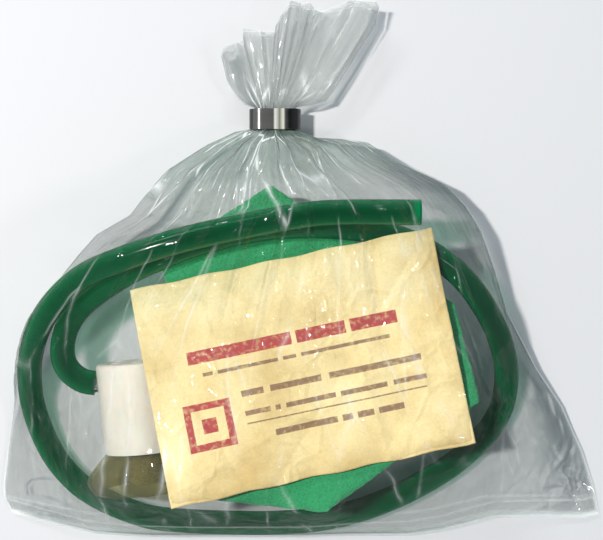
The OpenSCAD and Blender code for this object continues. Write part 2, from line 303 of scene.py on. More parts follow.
def film_material(
    name, tint, haze, neck_haze, neck_milk_shade_and_glow, glint_line_haze, gloss, gloss_rough, folds, depth, fall, tilt
):
    """Clear polythene: see-through, with painted white glint lines along its creases and edges, and sharp
    shine.

    haze and neck_haze are how milky it is all over and at the neck, glint_line_haze is how strongly the
    painted glint lines along the folds show, and neck_milk_shade_and_glow is the milk's colour at the neck,
    where a darker, greener colour paints in the shade and the green glow of the contents. folds is how many
    folds run across and along it, and depth is their height. fall and tilt darken it where it turns away and
    where the folds are steep.
    """
    mat, nt, out = material(name)
    place = object_place(nt)
    uv = node(nt, "ShaderNodeTexCoord").outputs["UV"]
    u, v = node(nt, "ShaderNodeSeparateXYZ", {0: uv}).outputs[:2]
    height, long_edge = film_folds(nt, place, uv, folds)
    normal = bump(nt, height, depth, 0.5)
    # The broken white lines along the long folds are a painted glint
    line = film_glint_lines(nt, place, v, long_edge)
    side = maths(nt, "MINIMUM", u, minus(nt, 1.0, u))
    bent = facing_away(nt, 0.5, normal)
    plain = facing_away(nt, 0.5)

    # How milky the film is, with the painted glint lines along its folds and edges added to it as white milk
    haze_and_glint = plus(nt, times(nt, maths(nt, "POWER", bent, 3.0), 0.04), haze)
    haze_and_glint = plus(nt, haze_and_glint, times(nt, ramp(nt, v, [(0.2, 1), (0.32, 0)]), neck_haze))
    haze_and_glint = plus(nt, haze_and_glint, times(nt, line, glint_line_haze))
    # The side folds and the bottom edge get a painted white glint here, and the seam its weld line
    haze_and_glint = maths(nt, "MAXIMUM", haze_and_glint, hem_and_edge_glints(nt, side, v), clamp=True)
    # At the neck the milk is darker and greener: painted shade and the painted green glow of the contents
    haze_and_glint_tone = mixed(nt, ramp(nt, plus(nt, v, line), [(0.25, 0), (0.45, 1)]), neck_milk_shade_and_glow, MILK_AND_GLINT)
    haze_and_glint_skin = principled(nt, haze_and_glint_tone, 0.4, normal)

    steep = times(nt, maths(nt, "ABSOLUTE", minus(nt, bent, plain)), tilt)
    steep = plus(nt, times(nt, plain, fall), steep, clamp=True)
    clear = see_through(nt, mixed(nt, steep, tint, tuple(c * 0.5 for c in tint)))
    body = blended(nt, haze_and_glint, clear, haze_and_glint_skin)

    polish = {"Color": (1, 1, 1, 1), "Roughness": gloss_rough, "Normal": normal}
    shine = node(nt, "ShaderNodeBsdfAnisotropic", polish).outputs[0]
    mirror = times(nt, node(nt, "ShaderNodeFresnel", {"IOR": FILM_IOR, "Normal": normal}).outputs[0], gloss)
    mirror = times(nt, mirror, ramp(nt, plain, [(0.3, 1), (0.5, 0.25)]), clamp=True)
    seen = blended(nt, mirror, body, shine)

    upright = times(nt, ramp(nt, plain, [(0.12, 0), (0.55, 1)]), ramp(nt, side, [(0.05, 1), (0.12, 0.22)]))
    in_shadow = see_through(nt, mixed(nt, upright, tuple(min(1, c * 1.03) for c in tint), SIDE_SHADE))
    nt.links.new(split_by_shadow(nt, seen, in_shadow), out.inputs["Surface"])
    return mat


# ---------------------------------------------------------------- other materials

HOSE_GREEN = (0.0, 0.12, 0.038)
# The painted light that shines through the hose's cut end
HOSE_END_GLOW_GREEN = (0.0, 0.17, 0.055)
HOSE_SHADOW = (0.66, 0.80, 0.74)


def hose_material():
    """Translucent bottle-green PVC: deep where it is looked straight through, with painted light through its
    walls as a lighter band towards its sides, and a painted lighter ring of light just short of its cut end.
    """
    mat, nt, out = material("green_pvc")
    place = object_place(nt)
    # Painted shading by viewing angle: dark in the middle, a lighter band partway to the sides for light
    # through the walls, darker again at the edges
    depth = ramp(nt, facing_away(nt, 0.5), [
        (0.0, (0.0, 0.042, 0.014)),
        (0.2, (0.0, 0.085, 0.028)),
        (0.5, (0.0, 0.16, 0.055)),
        (0.8, (0.0, 0.07, 0.02)),
    ])
    tone = mixed(nt, ramp(nt, noise(nt, place, 35, 2), [(0.3, 0), (0.7, 0.35)]), depth, HOSE_GREEN)
    x, _, z = node(nt, "ShaderNodeSeparateXYZ", {0: place}).outputs
    # A painted lighter ring on the top strand just short of its cut end, for light coming through the end,
    # with the last bit left dark
    end_glow = ramp(nt, times(nt, x, 10.0), [(0.335, 0), (0.352, 1), (0.3625, 1), (0.3655, 0)])
    end_glow = times(nt, end_glow, ramp(nt, times(nt, z, 10.0), [(0.38, 0), (0.4, 1)]))
    tone = mixed(nt, end_glow, tone, HOSE_END_GLOW_GREEN)
    normal = bump(nt, noise(nt, place, 60, 2), 0.0001, 0.3)
    gloss = {"IOR": 1.45, "Specular_IOR_Level": 0.12, "Coat_Weight": 0.08, "Coat_Roughness": 0.05}
    skin = principled(nt, tone, 0.16, normal, **gloss)
    nt.links.new(split_by_shadow(nt, skin, see_through(nt, HOSE_SHADOW)), out.inputs["Surface"])
    return mat


def foam_material():
    """Fine open-cell foam: dark pores between pale cell walls."""
    mat, nt, out = material("green_foam")
    place = object_place(nt)
    fine = cells(nt, place, 1300)
    large = cells(nt, place, 520)
    pores = ramp(nt, fine, [(0.15, (0.01, 0.235, 0.082)), (0.6, (0.024, 0.34, 0.125))])
    tone = mixed(nt, ramp(nt, noise(nt, place, 45, 3), [(0.3, 0), (0.75, 0.5)]), pores, (0.045, 0.38, 0.155))
    normal = bump(nt, plus(nt, times(nt, fine, 0.7), times(nt, large, 0.5)), 0.0004, 0.8)
    soft = {"Sheen_Weight": 0.25, "Subsurface_Weight": 0.12, "Subsurface_Scale": 0.002}
    nt.links.new(principled(nt, tone, 0.92, normal, **soft), out.inputs["Surface"])
    return mat


def cap_material():
    """Milky white moulded plastic, a little yellowed."""
    mat, nt, out = material("milky_white")
    place = object_place(nt)
    tone = ramp(nt, noise(nt, place, 70, 3), [(0.3, (0.73, 0.67, 0.57)), (0.75, (0.8, 0.75, 0.66))])
    normal = bump(nt, noise(nt, place, 1500, 2), 0.00003, 0.4)
    rough = ramp(nt, noise(nt, place, 150, 3), [(0.3, 0.32), (0.7, 0.5)])
    skin = principled(nt, tone, rough, normal, Subsurface_Weight=0.35, Subsurface_Scale=0.003)
    nt.links.new(skin, out.inputs["Surface"])
    return mat


def clear_plastic(name, tint, roughness):
    """Rigid transparent plastic with faint flow marks."""
    mat, nt, out = material(name)
    place = object_place(nt)
    normal = bump(nt, noise(nt, place, 120, 2), 0.0002, 0.4)
    tone = ramp(nt, noise(nt, place, 40, 2), [(0.3, tuple(0.85 * c for c in tint)), (0.7, tint)])
    skin = principled(nt, tone, roughness, normal, Transmission_Weight=0.9, IOR=1.4)
    nt.links.new(skin, out.inputs["Surface"])
    return mat


def smoky_material():
    """Thin smoky olive plastic that shows what is behind it."""
    mat, nt, out = material("smoky_olive")
    place = object_place(nt)
    normal = bump(nt, noise(nt, place, 90, 2), 0.0003, 0.4)
    tint = ramp(nt, noise(nt, place, 30, 2), [(0.3, (0.68, 0.66, 0.48)), (0.7, (0.76, 0.74, 0.56))])
    skin = principled(nt, (0.34, 0.33, 0.21, 1), 0.25, normal)
    share = plus(nt, times(nt, facing_away(nt, 0.3, normal), 0.45), 0.08, clamp=True)
    nt.links.new(blended(nt, share, see_through(nt, tint), skin), out.inputs["Surface"])
    return mat


def stone_material():
    """Sintered grit."""
    mat, nt, out = material("grit_stone")
    grains = cells(nt, object_place(nt), 1500)
    tone = mixed(nt, ramp(nt, grains, [(0.1, 0), (0.6, 1)]), (0.24, 0.2, 0.15), (0.5, 0.46, 0.38))
    nt.links.new(principled(nt, tone, 0.9, bump(nt, grains, 0.0005, 0.9)), out.inputs["Surface"])
    return mat


def band_material():
    """Glossy black flat band, faintly scratched, with a painted reflection across its middle as grey and pale
    stripes.
    """
    mat, nt, out = material("black_band")
    place = object_place(nt)
    stretched = node(nt, "ShaderNodeMapping", {"Vector": place, "Scale": (1, 12, 1)}).outputs[0]
    scratch = noise(nt, stretched, 60, 3)
    tone = ramp(nt, noise(nt, place, 60, 2), [(0.35, (0.006, 0.006, 0.007)), (0.75, (0.022, 0.023, 0.024))])
    x = node(nt, "ShaderNodeSeparateXYZ", {0: place}).outputs[0]
    across = times(nt, plus(nt, x, 0.0174), 58.0)
    # Painted reflection: grey and pale stripes across the band's middle, where its bent facets would mirror
    # the light
    painted_reflection = ramp(nt, across, [
        (0.0, (0.005, 0.005, 0.005)),
        (0.065, (0.008, 0.008, 0.008)),
        (0.085, (0.10, 0.10, 0.095)),
        (0.47, (0.07, 0.07, 0.065)),
        (0.50, (0.72, 0.72, 0.66)),
        (0.56, (0.42, 0.42, 0.36)),
        (0.585, (0.16, 0.16, 0.13)),
        (0.66, (0.74, 0.73, 0.62)),
        (0.70, (0.05, 0.05, 0.05)),
        (0.76, (0.004, 0.004, 0.004)),
    ])
    tone = mixed(nt, 0.8, tone, painted_reflection)
    rough = ramp(nt, scratch, [(0.35, 0.2), (0.7, 0.28)])
    nt.links.new(principled(nt, tone, rough, bump(nt, scratch, 0.00002, 0.1)), out.inputs["Surface"])
    return mat


def rubber_material():
    """Matte dark rubber."""
    mat, nt, out = material("dark_rubber")
    place = object_place(nt)
    tone = ramp(nt, noise(nt, place, 200, 3), [(0.3, (0.02, 0.02, 0.02)), (0.7, (0.045, 0.045, 0.043))])
    normal = bump(nt, noise(nt, place, 1200, 2), 0.00005, 0.5)
    nt.links.new(principled(nt, tone, 0.7, normal), out.inputs["Surface"])
    return mat


# ---------------------------------------------------------------- printed paper

# The plain bars that stand for the print. Each row is its middle height and thickness as shares of
# the label, and the left and right ends of its bars.
RED_ROW = (0.638, 0.06, [(0.14, 0.485), (0.50, 0.665), (0.68, 0.835)])
DARK_ROWS = [
    (0.555, 0.018, [(0.18, 0.215), (0.23, 0.43), (0.445, 0.49), (0.505, 0.80)]),
    (0.435, 0.03, [(0.29, 0.365), (0.385, 0.555), (0.58, 0.885)]),
    (0.345, 0.024, [(0.29, 0.375), (0.39, 0.408), (0.425, 0.59), (0.605, 0.76), (0.78, 0.89)]),
    (0.298, 0.008, [(0.29, 0.885)]),
    (0.235, 0.03, [(0.375, 0.58), (0.595, 0.63), (0.645, 0.70), (0.715, 0.80)]),
]
BADGE = (0.325, 0.215, [(0.095, 0.25)])
BADGE_HOLE = (0.325, 0.152, [(0.118, 0.227)])
BADGE_HEART = (0.325, 0.068, [(0.148, 0.197)])
PRINT_SOFTNESS = 0.0016
PRINT_RED = (0.42, 0.035, 0.05)
PRINT_DARK = (0.13, 0.03, 0.035)


def row_mask(nt, u, v, row):
    """1 inside the bars of a row with slightly soft edges, 0 outside."""
    middle, thick, bars = row
    up = minus(nt, thick / 2, maths(nt, "ABSOLUTE", minus(nt, v, middle)))
    total = None
    for left, right in bars:
        off = maths(nt, "ABSOLUTE", minus(nt, u, (left + right) / 2))
        inside = maths(nt, "MINIMUM", minus(nt, (right - left) / 2, off), up)
        one = maths(nt, "DIVIDE", inside, PRINT_SOFTNESS, clamp=True)
        total = one if total is None else maths(nt, "MAXIMUM", total, one)
    return total


def print_masks(nt, u, v):
    """Where the red print is, and where the dark print is."""
    ring = minus(nt, row_mask(nt, u, v, BADGE), row_mask(nt, u, v, BADGE_HOLE), clamp=True)
    badge = maths(nt, "MAXIMUM", ring, row_mask(nt, u, v, BADGE_HEART))
    red = maths(nt, "MAXIMUM", row_mask(nt, u, v, RED_ROW), badge)
    dark = row_mask(nt, u, v, DARK_ROWS[0])
    for row in DARK_ROWS[1:]:
        dark = maths(nt, "MAXIMUM", dark, row_mask(nt, u, v, row))
    return red, dark


def paper_tone(nt, place, u, v):
    """Cream paper, browner low down and along its edges, with fine fibres."""
    by_side = maths(nt, "MINIMUM", u, minus(nt, 1.0, u))
    rim = maths(nt, "MINIMUM", by_side, maths(nt, "MINIMUM", v, minus(nt, 1.0, v)))
    # Darker towards the bottom and along the edges, with random patches
    tone_level = plus(nt, noise(nt, place, 30, 4, 0.6), times(nt, minus(nt, v, 0.6), 0.14))
    tone_level = minus(nt, tone_level, times(nt, ramp(nt, rim, [(0, 1), (0.06, 0)]), 0.1))
    cream_tone = ramp(nt, tone_level, [(0.28, (0.68, 0.50, 0.21)), (0.5, (0.92, 0.75, 0.39)), (0.75, (0.98, 0.88, 0.56))])
    fibre = ramp(nt, noise(nt, place, 1400, 4), [(0.3, 0.88), (0.7, 1)])
    return mixed(nt, 1, cream_tone, fibre, "MULTIPLY")


def paper_height(nt, place):
    """Fibres, soft waves and the ridges of crumpled paper."""
    height = plus(nt, noise(nt, place, 900, 4), times(nt, noise(nt, place, 70, 3), 3.0))
    crinkle = cells(nt, warped(nt, place, place, 40, 0.02), 55, "DISTANCE_TO_EDGE")
    return plus(nt, height, times(nt, ramp(nt, crinkle, [(0, 1), (0.09, 0)]), 1.6))


def paper_material():
    """Aged cream paper with plain printed bars, a rule and a square frame."""
    mat, nt, out = material("aged_paper")
    place = object_place(nt)
    uv = node(nt, "ShaderNodeTexCoord").outputs["UV"]
    wobble = times(nt, minus(nt, noise(nt, place, 900, 2), 0.5), 0.003)
    u, v = [plus(nt, way, wobble) for way in node(nt, "ShaderNodeSeparateXYZ", {0: uv}).outputs[:2]]
    red, dark = print_masks(nt, u, v)
    worn = ramp(nt, noise(nt, place, 700, 3), [(0.32, 0.55), (0.5, 0.95)])
    tone = mixed(nt, times(nt, red, worn), paper_tone(nt, place, u, v), PRINT_RED)
    tone = mixed(nt, times(nt, dark, times(nt, worn, 0.8)), tone, PRINT_DARK)
    normal = bump(nt, paper_height(nt, place), 0.00022, 0.7)
    nt.links.new(principled(nt, tone, 0.72, normal), out.inputs["Surface"])
    return mat


# The front film's milk at the neck is a dark green-grey, which paints in the shade and the green glow of the
# contents
FILM = film_material(
    "clear_film",
    tint=(0.92, 0.93, 0.925),
    haze=0.004,
    neck_haze=0.38,
    neck_milk_shade_and_glow=(0.23, 0.32, 0.27),
    glint_line_haze=0.8,
    gloss=1.1,
    gloss_rough=0.06,
    folds=(12, 2.4),
    depth=0.0008,
    fall=0.4,
    tilt=1.5,
)
FILM_BACK = film_material(
    "clear_film_back",
    tint=(0.88, 0.89, 0.885),
    haze=0.03,
    neck_haze=0.1,
    neck_milk_shade_and_glow=(0.3, 0.34, 0.32),
    glint_line_haze=0.4,
    gloss=0.5,
    gloss_rough=0.1,
    folds=(12, 2.2),
    depth=0.0004,
    fall=0.25,
    tilt=1.5,
)
FILM_MOUTH = film_material(
    "clear_film_gathered",
    tint=(0.89, 0.90, 0.893),
    haze=0.07,
    neck_haze=0.1,
    neck_milk_shade_and_glow=(0.7, 0.73, 0.72),
    glint_line_haze=0.9,
    gloss=1.3,
    gloss_rough=0.12,
    folds=(7, 0.6),
    depth=0.0002,
    fall=0.4,
    tilt=2.0,
)
HOSE = hose_material()
FOAM = foam_material()
CAP = cap_material()
CLEAR = clear_plastic("greenish_clear", (0.78, 0.84, 0.78), 0.08)
SMOKY = smoky_material()
STONE = stone_material()
BAND = band_material()
RUBBER = rubber_material()
PAPER = paper_material()


def dress(piece, mat, stands_for):
    """Gives a piece its material, hides the CAD nodes that it stands for, and hangs it on the kit's body."""
    piece.data.materials.clear()
    piece.data.materials.append(mat)
    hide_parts(*stands_for)
    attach(piece, "kit")
    return piece


# ---------------------------------------------------------------- hose

# The middle line of the hose in mm, from its inlet to its cut end: the same points as the CAD hose has
HOSE_ROUTE = [
    (-66.9, -36.7, 20.3), (-70.8, -36, 20.3), (-74.6, -33.5, 20.3), (-77, -29.8, 20.3),
    (-77.6, -25.3, 20.3), (-76.6, -20, 20.5), (-74, -15, 21.3), (-69.8, -10.5, 22.8),
    (-63.5, -6, 25.8), (-56, -1.5, 30), (-48, 2.3, 32.7), (-32, 8.5, 33), (-10, 13.3, 32.5),
    (13.5, 13.5, 32.2), (31, 10, 31.8), (44, 3.5, 29), (54, -5, 24), (63, -18, 17),
    (67.8, -31, 10.5), (68, -42, 6.8), (65.3, -50, 5.4), (59.5, -57.5, 5), (49, -66.5, 5),
    (33, -75.5, 5), (13, -82.5, 5), (-10.5, -85, 5), (-43.5, -84, 5), (-57.5, -81, 5),
    (-72, -74, 5), (-82, -64, 5), (-88, -52, 5.6), (-90.3, -40, 9), (-88.2, -27, 18),
    (-81.5, -14, 28), (-70, -2.8, 33.5), (-55.5, 3.5, 39.2), (-38, 9, 41.8), (-19, 13.3, 41.3),
    (0, 16.8, 41), (12.9, 17.8, 41), (36.9, 17.8, 41),
]
HOSE_OUTER = 4.0 * MM
HOSE_INNER = 3.0 * MM
HOSE_SIDES = 56
HOSE_RINGS = 620


def rings(path, radius, sides):
    """Rings round a path whose frame never flips, as an array of rings by sides by 3."""
    ahead = np.gradient(path, axis=0)
    ahead /= np.linalg.norm(ahead, axis=1)[:, None]
    across = np.cross([0, 0, 1.0], ahead)
    across /= np.linalg.norm(across, axis=1)[:, None]
    up = np.cross(ahead, across)
    turn = np.linspace(0, 2 * math.pi, sides, endpoint=False)[None, :, None]
    return path[:, None] + radius * (np.cos(turn) * across[:, None] + np.sin(turn) * up[:, None])


def make_hose():
    """The hose with its bore, cut square at both ends."""
    path = along(smooth_line(HOSE_ROUTE, 16), HOSE_RINGS) * MM
    outer = rings(path, HOSE_OUTER, HOSE_SIDES)
    inner = rings(path, HOSE_INNER, HOSE_SIDES)
    points = np.concatenate([outer.reshape(-1, 3), inner.reshape(-1, 3)])
    bore = HOSE_RINGS * HOSE_SIDES
    last = bore - HOSE_SIDES
    faces = []
    for i in range(HOSE_RINGS - 1):
        for k in range(HOSE_SIDES):
            a, b = i * HOSE_SIDES + k, i * HOSE_SIDES + (k + 1) % HOSE_SIDES
            c, d = b + HOSE_SIDES, a + HOSE_SIDES
            faces.append((a, b, c, d))
            faces.append((bore + d, bore + c, bore + b, bore + a))
    for a in range(HOSE_SIDES):
        b = (a + 1) % HOSE_SIDES
        faces.append((b, a, bore + a, bore + b))
        faces.append((last + a, last + b, bore + last + b, bore + last + a))
    piece = dress(new_mesh("air_hose", points, faces), HOSE, ["hose", "hose_end"])
    piece.cycles.shadow_terminator_geometry_offset = 0.2
    return piece


hose = make_hose()

# ---------------------------------------------------------------- foam block

FOAM_VOXEL = 1.0 * MM
FOAM_GRAIN = 0.10 * MM
FOAM_CUT_WAVE = 0.22 * MM
FOAM_SKIN = 0.1 * MM


def vectors_of(items, key):
    """One vector of each mesh element, as an array."""
    flat = np.zeros(len(items) * 3)
    items.foreach_get(key, flat)
    return flat.reshape(-1, 3)


def make_foam():
    """The CAD block remeshed finely, its faces roughened and its edges a little worn."""
    piece = bpy.data.objects.new("foam", nodes["foam_block"].data.copy())
    bpy.context.collection.objects.link(piece)
    remesh = piece.modifiers.new("voxels", "REMESH")
    remesh.mode = "VOXEL"
    remesh.voxel_size = FOAM_VOXEL
    soften = piece.modifiers.new("soften", "SMOOTH")
    soften.factor = 0.5
    soften.iterations = 2
    made = bpy.data.meshes.new_from_object(piece.evaluated_get(bpy.context.evaluated_depsgraph_get()))
    piece.modifiers.clear()
    piece.data = made
    co = vectors_of(made.vertices, "co")
    normal = vectors_of(made.vertices, "normal")
    x, y, z = co.T
    grain = np.random.default_rng(3).normal(0, FOAM_GRAIN, len(co))
    cut = FOAM_CUT_WAVE * np.sin(x * 900 + 2 * np.sin(y * 300)) * np.sin(z * 700 + y * 400)
    co = co - normal * (np.abs(grain) + np.abs(cut) + FOAM_SKIN)[:, None]
    made.vertices.foreach_set("co", co.ravel())
    made.update()
    made.shade_smooth()
    dress(piece, FOAM, ["foam_block"])
    return piece


foam = make_foam()

# ---------------------------------------------------------------- label

LABEL_WIDE = 97
LABEL_HIGH = 69
LABEL_TURN = math.radians(11.8)
LABEL_CORNER = (-40.3, -74)
LABEL_GRID = (150, 210)
LABEL_THICK = 0.22 * MM

# Heights of the label from its lower edge to its upper edge, each row from left to right
LABEL_Z = np.array(
    [
        [40, 38, 36, 35.5, 34.5],
        [38, 36, 35.5, 34.5, 34],
        [34.5, 33.5, 33, 33, 33.5],
        [31, 30.5, 31, 36.5, 38.5],
    ]
)

# Creases of the label: angle in radians, how far off the lower left corner and height in mm
LABEL_FOLDS = [
    (1.35, 0.62, 0.6), (0.35, 0.33, -0.5), (1.9, 0.05, 0.55),
    (0.8, 0.95, 0.5), (2.4, -0.35, -0.5), (0.1, 1.0, 0.6),
]


def between(count, places):
    """For places along a row of count values: the cell of each, and its share of the next value."""
    cell = np.clip(np.floor(places).astype(int), 0, count - 2)
    part = places - np.floor(places)
    eased = part * part * (3 - 2 * part)
    share = np.where(places >= count - 1, 1, 0.5 * eased + 0.5 * (places - cell))
    return cell, share


def smooth_grid(values, rows, columns):
    """A small table of heights as a smooth grid."""
    i, down = between(values.shape[0], np.linspace(0, values.shape[0] - 1, rows))
    j, right = between(values.shape[1], np.linspace(0, values.shape[1] - 1, columns))
    down = down[:, None]
    upper = (1 - right) * values[i][:, j] + right * values[i][:, j + 1]
    lower = (1 - right) * values[i + 1][:, j] + right * values[i + 1][:, j + 1]
    return (1 - down) * upper + down * lower


def make_label():
    """The paper label, bent over the foam and the cap."""
    rows, columns = LABEL_GRID
    u, v = np.meshgrid(np.linspace(0, 1, columns), np.linspace(0, 1, rows))
    ripple = 0.5 * np.sin(u * 9 + 3 * v) * np.sin(v * 7 + 1) + 0.22 * np.sin(u * 23 - 8 * v + 1)
    folds = np.zeros_like(u)
    for angle, offset, size in LABEL_FOLDS:
        off = u * math.cos(angle) * 1.4 + v * math.sin(angle) - offset
        folds += size * np.exp(-np.abs(off) / 0.035)
    z = smooth_grid(LABEL_Z, rows, columns) + 0.2 + ripple + folds
    across, up = LABEL_WIDE * u, LABEL_HIGH * v
    x = LABEL_CORNER[0] + across * math.cos(LABEL_TURN) - up * math.sin(LABEL_TURN)
    y = LABEL_CORNER[1] + across * math.sin(LABEL_TURN) + up * math.cos(LABEL_TURN)
    y += 0.25 * np.sin(u * 31) * (np.abs(v - 0.5) * 2) ** 8
    piece = grid_piece("paper_label", [np.stack([x, y, z], 2)])
    thick = piece.modifiers.new("thickness", "SOLIDIFY")
    thick.thickness = LABEL_THICK
    thick.offset = -1
    dress(piece, PAPER, ["label_card"])
    return piece


label = make_label()

# ---------------------------------------------------------------- bag: outline

# The bag's edges in mm: its two sides from the neck down, and its bottom from left to right
LEFT_EDGE = [
    (-17.3, 46.8), (-22, 46), (-31.5, 41.5), (-44, 33), (-50, 26), (-56, 18), (-67, 11.5), (-77, 0),
    (-86, -12), (-93, -22), (-96, -35), (-96.5, -42), (-99, -56), (-101, -72), (-101, -77), (-98, -82.5),
]
RIGHT_EDGE = [
    (-0.5, 46.5), (5, 44), (15, 43.3), (22, 42), (31, 36), (39, 32), (47, 28), (54, 21), (59, 13),
    (64, 0), (69, -15), (79, -33), (88, -46), (95, -61), (99, -73), (101, -83),
]
BOTTOM_EDGE = [
    (-98, -82.5), (-90, -84.5), (-81, -86.5), (-69, -89), (-50, -90), (0, -90), (16, -89.5), (36, -89.5),
    (47, -88), (57, -85.5), (65, -83.5), (80, -83.5), (96, -84), (101, -83),
]

# The middle of the neck, in mm
NECK = np.array([-8.8, 50.0, 9.0])

# Height of the folded side edges, from the neck to the bottom corners
EDGE_AT = [0, 0.1, 0.25, 0.42, 0.56, 0.7, 0.82, 1]
LEFT_Z = [9, 11, 17, 19, 13, 5, 1.6, 0.8]
RIGHT_Z = [9, 12, 17, 16, 10, 5, 1.8, 0.8]

# Rows and columns of the front sheet, and how much closer the rows lie at the neck
BAG_GRID = (260, 420)
ROW_SPREAD = 1.15
EDGE_STEPS = 2000


def patch(left, right, start, end, v):
    """A grid between four edges: its columns run from start to end, and row k is v[k] of the way down."""
    u = np.linspace(0, 1, len(start))[None, :, None]
    pick = (v * (EDGE_STEPS - 1)).astype(int)
    left, right = along(left, EDGE_STEPS)[pick][:, None], along(right, EDGE_STEPS)[pick][:, None]
    v = v[:, None, None]
    corners = (1 - v) * ((1 - u) * start[0] + u * start[-1]) + v * ((1 - u) * end[0] + u * end[-1])
    return (1 - u) * left + u * right + (1 - v) * start[None] + v * end[None] - corners


# ---------------------------------------------------------------- bag: what holds the film up

CELL = 1.0
GRID_X = np.arange(-104, 104.1, CELL)
GRID_Y = np.arange(-93, 52.1, CELL)
NOTHING_ABOVE = -1.0
NOTHING_BELOW = 999.0


def tree_of(mesh):
    """A mesh that rays can be cast at."""
    return BVHTree.FromPolygons([v.co for v in mesh.vertices], [tuple(p.vertices) for p in mesh.polygons])


def height_map(from_above):
    """The highest, or lowest, place of the contents over each point of a grid, in mm."""
    dg = bpy.context.evaluated_depsgraph_get()
    trees = [tree_of(nodes[name].data) for name in ("head_cap", "chamber")]
    trees += [tree_of(piece.evaluated_get(dg).data) for piece in (hose, foam, label)]
    start, way = (0.2, -1) if from_above else (-0.1, 1)
    best = np.full((len(GRID_Y), len(GRID_X)), NOTHING_ABOVE if from_above else NOTHING_BELOW)
    pick = np.maximum if from_above else np.minimum
    for j, y in enumerate(GRID_Y):
        for i, x in enumerate(GRID_X):
            for tree in trees:
                hit = tree.ray_cast(Vector((x * MM, y * MM, start)), Vector((0, 0, way)))[0]
                if hit is not None:
                    best[j, i] = pick(best[j, i], hit.z / MM)
    return best


def widen(z, pick, rounds):
    """Spreads the highest or lowest heights to the cells around."""
    for _ in range(rounds):
        p = np.pad(z, 1, mode="edge")
        z = pick.reduce([p[1:-1, 1:-1], p[:-2, 1:-1], p[2:, 1:-1], p[1:-1, :-2], p[1:-1, 2:]])
    return z


def blur(z, rounds):
    """Rounds off the steps of a height grid."""
    for _ in range(rounds):
        p = np.pad(z, 1, mode="edge")
        z = (p[:-2, 1:-1] + p[2:, 1:-1] + p[1:-1, :-2] + p[1:-1, 2:] + 2 * p[1:-1, 1:-1]) / 6
    return z


def sample(z, plan):
    """Heights of a cell grid at the points of a plan."""
    i = np.clip((plan[..., 0] - GRID_X[0]) / CELL, 0, len(GRID_X) - 1.001)
    j = np.clip((plan[..., 1] - GRID_Y[0]) / CELL, 0, len(GRID_Y) - 1.001)
    a, b = i.astype(int), j.astype(int)
    s, t = i - a, j - b
    lower = (1 - s) * z[b, a] + s * z[b, a + 1]
    upper = (1 - s) * z[b + 1, a] + s * z[b + 1, a + 1]
    return (1 - t) * lower + t * upper


def relaxed(z, plan, rim, floor, rounds):
    """Pulls the heights z tight over floor for some rounds, with rim held."""
    wu = 1 / np.maximum(np.linalg.norm(np.diff(plan, axis=1), axis=2), 0.15) ** 2
    wv = 1 / np.maximum(np.linalg.norm(np.diff(plan, axis=0), axis=2), 0.15) ** 2
    total = wu[1:-1, 1:] + wu[1:-1, :-1] + wv[1:, 1:-1] + wv[:-1, 1:-1]
    for _ in range(rounds):
        pull = wu[1:-1, 1:] * z[1:-1, 2:] + wu[1:-1, :-1] * z[1:-1, :-2]
        pull += wv[1:, 1:-1] * z[2:, 1:-1] + wv[:-1, 1:-1] * z[:-2, 1:-1]
        z[1:-1, 1:-1] = np.where(rim[1:-1, 1:-1], z[1:-1, 1:-1], np.maximum(pull / total, floor[1:-1, 1:-1]))
    return z


def tight_sheet(plan, rim, rim_z, floor):
    """A sheet pulled tight over floor and held at its rim, worked out coarsely first and then finely."""
    z = None
    for step, rounds in ((8, 1500), (4, 900), (2, 500), (1, 250)):
        rows = np.unique(np.append(np.arange(0, plan.shape[0], step), plan.shape[0] - 1))
        columns = np.unique(np.append(np.arange(0, plan.shape[1], step), plan.shape[1] - 1))
        pick = np.ix_(rows, columns)
        if z is None:
            start = floor[pick]
        else:
            across = np.stack([np.interp(columns, old_columns, line) for line in z])
            start = np.stack([np.interp(rows, old_rows, line) for line in across.T], 1)
            start = np.maximum(start, floor[pick])
        start = np.where(rim[pick], rim_z[pick], start)
        z = relaxed(start, plan[pick], rim[pick], floor[pick], rounds)
        old_rows, old_columns = rows, columns
    return z


# ---------------------------------------------------------------- bag: creases

# Folds of the film that fan out from the neck: how many, their widths and heights in mm
FOLDS = [(24, (4.0, 11.0), (0.8, 3.0)), (10, (0.9, 2.0), (0.2, 0.5))]

# Long folds that run from the neck over the contents: across at the neck, across at the far end,
# far end down the bag, half width and height in mm
LONG_FOLDS = [
    (0.42, 0.40, 0.62, 1.5, 1.5), (0.50, 0.465, 0.66, 1.3, 1.4), (0.55, 0.57, 0.50, 1.2, 1.2),
    (0.36, 0.27, 0.55, 1.4, 1.4), (0.62, 0.71, 0.48, 1.4, 1.3), (0.27, 0.13, 0.60, 1.5, 1.4),
    (0.46, 0.36, 0.44, 1.0, 1.1), (0.70, 0.86, 0.56, 1.5, 1.5), (0.78, 0.93, 0.62, 1.4, 1.4),
]

# Where the film is crumpled: left, right, lowest and highest place in mm
ALL_OVER = (-95, 95, -88, 42)
RIGHT_CORNER = (50, 99, -85, -35)
LEFT_CORNER = (-99, -66, -85, -45)


def tent(x, width):
    """1 at 0, and down to 0 in straight lines at width each way."""
    return np.maximum(0, 1 - np.abs(x) / width)


def zigzag(u, random, folds):
    """Straight-sided folds across u, -1 to 1."""
    at = np.sort(np.concatenate([[0, 1], random.uniform(0.02, 0.98, folds)]))
    high = random.uniform(0.35, 1, folds + 2) * np.where(np.arange(folds + 2) % 2, 1, -1)
    return np.interp(u, at, high)


def row_widths(plan):
    """How wide each row of a plan is."""
    return np.linalg.norm(plan[:, -1] - plan[:, 0], axis=1)[:, None]


